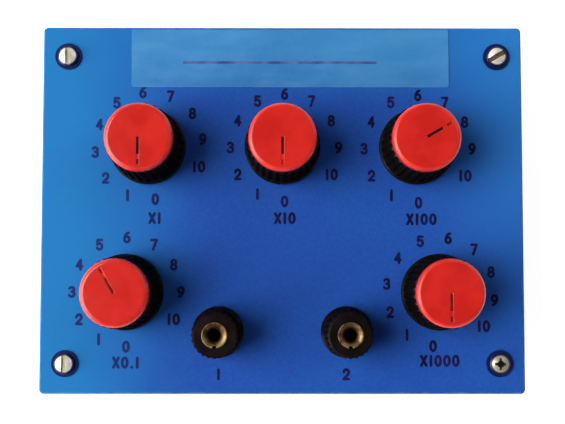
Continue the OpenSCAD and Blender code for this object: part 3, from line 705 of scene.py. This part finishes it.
def dial_marks(dial):
    """The printed ring of numbers round a dial and the multiplier below it."""
    centre = Vector(joints[f"dial_{dial}_turn"]["pos_m"])
    ring = centre + RING_SHIFT.get(dial, Vector())
    ink = Ink(PANEL_TOP)
    for step in range(STEP_COUNT):
        place = ring + direction(ZERO_ANGLE + RING_TURN.get(dial, 0) + STEP_ANGLE * step) * NUMERAL_RING_R
        ink.write(str(step), place)
    label = centre - Vector((0, LABEL_DROP, 0)) + LABEL_SHIFT[dial]
    ink.write(MULTIPLIERS[dial], label)
    ink.print_on_box(f"dial_marks_{dial}")


TERMINAL_DROP = 14.0 * MM
RULE_W = 64 * MM
RULE_PEN = 0.9 * MM
RULE_UP = 8.35 * MM
RULE_X = -0.9 * MM


def terminal_marks():
    """A plain number below each binding post."""
    ink = Ink(PANEL_TOP)
    for side, number in TERMINALS.items():
        place = Vector(joints[f"head_{side}_turn"]["pos_m"]) - Vector((0, TERMINAL_DROP, 0))
        ink.write(number, place)
    ink.print_on_box("terminal_marks")


def title_rule():
    """A faded line along the film."""
    low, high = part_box("title_strip")
    ink = Ink(high.z)
    y = low.y + RULE_UP
    ink.stroke([(RULE_X - RULE_W / 2, y), (RULE_X, y), (RULE_X + RULE_W / 2, y)], RULE_PEN)
    ink.print_on_box("title_rule", "ink_faded")


# Paint in the pointer grooves, outwards from a cap's middle: line, bare plastic, worn trace, bare tip

POINTER_START = 0.2 * MM
LINE_END = 5.4 * MM
BARE_END = 7.0 * MM
TRACE_END = 8.6 * MM
POINTER_END = 8.84 * MM
POINTER_STRETCHES = [
    ("line", POINTER_START, LINE_END, "ink_navy", "pointer_dark"),
    ("bare", LINE_END, BARE_END, "cap_red", "cap_plain"),
    ("trace", BARE_END, TRACE_END, "ink_navy", "pointer_worn"),
    ("tip", TRACE_END, POINTER_END, "cap_red", "cap_plain"),
]
POINTER_W = 0.78 * MM
POINTER_DEPTH = 0.49 * MM
POINTER_SAG = 0.02 * MM
POINTER_BELOW_TOP = 0.03 * MM
POINTER_COLUMNS = 6
WORN_POINTERS = ("x0_1", "x1000")


def paint_points(foot, ends, top):
    """A bar of paint: a sagging row of surface points at each end, then the corners of its floor.

    foot gives the place below a point, from its reach along the groove and its share of half the width.
    """
    points = []
    for reach in ends:
        for k in range(POINTER_COLUMNS + 1):
            share = 2 * k / POINTER_COLUMNS - 1
            sag = POINTER_BELOW_TOP + POINTER_SAG * (1 - share * share)
            place = foot(reach, share)
            points.append((place.x, place.y, top - sag))
    for reach in ends:
        for share in (-1, 1):
            place = foot(reach, share)
            points.append((place.x, place.y, top - POINTER_DEPTH))
    return points


def paint_faces():
    """The faces of a bar of paint, in the order of its points: surface, ends, sides and floor."""
    row = POINTER_COLUMNS + 1
    near, far = list(range(row)), list(range(row, 2 * row))
    near_left, near_right, far_left, far_right = range(2 * row, 2 * row + 4)
    faces = [[k, k + 1, row + k + 1, row + k] for k in range(POINTER_COLUMNS)]
    faces.append(near[::-1] + [near_left, near_right])
    faces.append(far + [far_right, far_left])
    faces.append([near[0], far[0], far_left, near_left])
    faces.append([far[-1], near[-1], near_right, far_right])
    faces.append([near_left, far_left, far_right, near_right])
    return faces


def pointer_paint(dial):
    """Fills a cap's groove with paint, stretch by stretch."""
    low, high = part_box(f"cap_{dial}")
    middle = (low + high) / 2
    along = direction(ZERO_ANGLE + STEP_ANGLE * SETTINGS[dial])
    across = Vector((along.y, -along.x, 0))

    def foot(reach, share):
        return middle + along * reach + across * (share * POINTER_W / 2)

    for name, start, end, slot, finish in POINTER_STRETCHES:
        if finish == "pointer_dark" and dial in WORN_POINTERS:
            finish = "pointer_worn"
        points = paint_points(foot, (start, end), high.z)
        add_piece(f"pointer_{name}_{dial}", points, paint_faces(), f"dial_{dial}", slot, finish)


# Stage: floor, lights, surroundings and camera

FLOOR_SIZE = 4.0
FLOOR_GLOW = 0.82
PAPER_DARK = colour(240, 240, 240)
PAPER_LIGHT = colour(246, 246, 246)


def floor():
    """White paper with a glow of its own, so that the ground stays white."""
    bpy.ops.mesh.primitive_plane_add(size=FLOOR_SIZE)
    plane = bpy.context.object
    plane.name = "floor"
    shader = Shader("floor_paper", roughness=0.9, emission_strength=FLOOR_GLOW, emission_color=WHITE)
    shader.set("Base Color", shader.mix(shader.noise(scale=3, detail=2), PAPER_DARK, PAPER_LIGHT))
    plane.data.materials.append(shader.material)


# Area lights, aimed at the middle of the panel; power is in watts
LIGHTS = {
    "window": dict(place=(-1.5, 0.08, 1.95), size=(1.6, 1.6), power=58.5, tint=(1.0, 0.98, 0.95)),
    "side_window": dict(place=(-1.76, -0.51, 0.64), size=(1.6, 0.8), power=35.5, tint=(1.0, 0.98, 0.96)),
    "far_window": dict(place=(0.52, 0.34, 0.72), size=(0.4, 0.4), power=0.8, tint=(1.0, 0.96, 0.98)),
}


def area_light(name, place, size, power, tint):
    data = bpy.data.lights.new(name, "AREA")
    data.shape = "RECTANGLE"
    data.size, data.size_y = size
    data.energy = power
    data.color = tint
    made = bpy.data.objects.new(name, data)
    made.location = place
    aim = Vector((0, 0, PANEL_TOP))
    made.rotation_euler = (aim - Vector(place)).to_track_quat("-Z", "Y").to_euler()
    scene.collection.objects.link(made)


ROOM_TINT = (1.0, 0.92, 0.96, 1.0)
# The surroundings' strength changes between two heights, as sines of the angle above the horizon
ROOM_LIGHT = {"From Min": 0.12, "From Max": 0.32, "To Min": 1.1, "To Max": 0.12}


def room():
    """The surroundings: bright walls at the horizon, dim overhead."""
    world = bpy.data.worlds.new("room")
    world.use_nodes = True
    tree = world.node_tree
    background = tree.nodes["Background"]
    background.inputs["Color"].default_value = ROOM_TINT
    place = tree.nodes.new("ShaderNodeTexCoord")
    split = tree.nodes.new("ShaderNodeSeparateXYZ")
    height = tree.nodes.new("ShaderNodeMapRange")
    height.interpolation_type = "SMOOTHSTEP"
    for name, number in ROOM_LIGHT.items():
        height.inputs[name].default_value = number
    tree.links.new(place.outputs["Generated"], split.inputs["Vector"])
    tree.links.new(split.outputs["Z"], height.inputs["Value"])
    tree.links.new(height.outputs["Result"], background.inputs["Strength"])
    scene.world = world


def camera():
    data = bpy.data.cameras.new("camera")
    data.sensor_fit = "HORIZONTAL"
    data.sensor_width = SENSOR_W_MM
    data.lens = CAMERA_FOCAL_PX / PHOTO_W_PX * SENSOR_W_MM
    data.shift_y = CAMERA_SHIFT_PX / PHOTO_W_PX
    made = bpy.data.objects.new("camera", data)
    made.location = Vector((0, 0, PANEL_TOP)) + CAMERA_ABOVE_PANEL
    made.rotation_euler = CAMERA_TURN_RADIANS
    scene.collection.objects.link(made)
    scene.camera = made


scene.view_settings.view_transform = "Standard"
camera()
for light_name, light in LIGHTS.items():
    area_light(light_name, **light)
room()
floor()
dress_cad_nodes()
for dial_name in MULTIPLIERS:
    dial_marks(dial_name)
    pointer_paint(dial_name)
terminal_marks()
title_rule()
